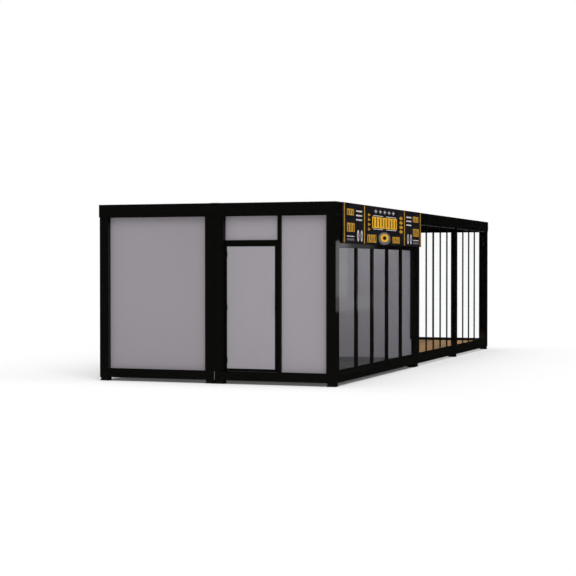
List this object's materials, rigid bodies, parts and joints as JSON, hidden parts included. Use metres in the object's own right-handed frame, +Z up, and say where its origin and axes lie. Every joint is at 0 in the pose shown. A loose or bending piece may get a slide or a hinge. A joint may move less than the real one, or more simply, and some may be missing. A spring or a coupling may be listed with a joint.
{
  "type": "modular kiosk pavilion with glazed terrace",
  "caption": "Long flat-roofed kiosk of black steel-framed modules: a closed room with grey panels, a door and side glazing, and a glazed terrace behind it.",
  "frame": {"origin": "on the ground under the middle of the body's box, sign board included", "axes": "+X to the right along the gable with the door, +Y away from that gable along the building, +Z up"},
  "size_m": [4.388, 12.02, 3.084],
  "materials": {
    "frame_black": "satin black powder coat on steel",
    "panel_grey": "smooth matt grey sheet-faced sandwich panel",
    "roof_panel": "matt dark grey coated sheet",
    "floor_grey": "matt grey sheet flooring",
    "deck_wood": "oiled grooved deck boards",
    "room_glass": "grey-tinted insulating glass",
    "terrace_glass": "clear toughened glass",
    "sign_face": "matt printed board, dark ground with yellow and pale motifs",
    "threshold_alu": "brushed threshold plate",
    "foot_black": "matt black levelling pads"
  },
  "bodies": {
    "building": {"feet": "foot_black", "room_base_beams": "frame_black", "terrace_base_beams": "frame_black", "floor_joists": "frame_black", "room_floor": "floor_grey", "terrace_deck": "deck_wood", "room_corner_posts": "frame_black", "room_seam_posts": "frame_black", "terrace_corner_posts": "frame_black", "terrace_seam_posts": "frame_black", "terrace_mid_posts": "frame_black", "room_roof_beams": "frame_black", "terrace_roof_beams": "frame_black", "room_roof": "roof_panel", "terrace_roof": "roof_panel", "roof_flashing": "frame_black", "seam_covers": "frame_black", "gable_panel_left": "panel_grey", "gable_panel_right": "panel_grey", "door_mullion": "frame_black", "transom_bar": "frame_black", "transom_panel": "panel_grey", "door_stops": "frame_black", "door_threshold": "threshold_alu", "hinge_frame_side": "frame_black", "left_wall_mullions": "frame_black", "left_wall_panels": "panel_grey", "end_wall_panels": "panel_grey", "side_rails": "frame_black", "side_mullions": "frame_black", "side_glass": "room_glass", "side_header_panel": "frame_black", "sign_board": "sign_face", "terrace_channels": "frame_black", "terrace_jambs": "frame_black", "terrace_glass_right": "terrace_glass", "terrace_glass_left": "terrace_glass", "terrace_glass_end": "terrace_glass", "terrace_glass_joints": "frame_black"},
    "door": {"door_stiles": "frame_black", "door_rails": "frame_black", "door_infill": "panel_grey", "door_handle": "frame_black", "hinge_leaf_side": "frame_black"}
  },
  "joints": [
    {"name": "door_hinge", "type": "hinge", "parent": "building", "child": "door", "pos_m": [0.176, -5.967, 1.3], "axis": [0, 0, -1], "range_deg": [0, 100]}
  ]
}
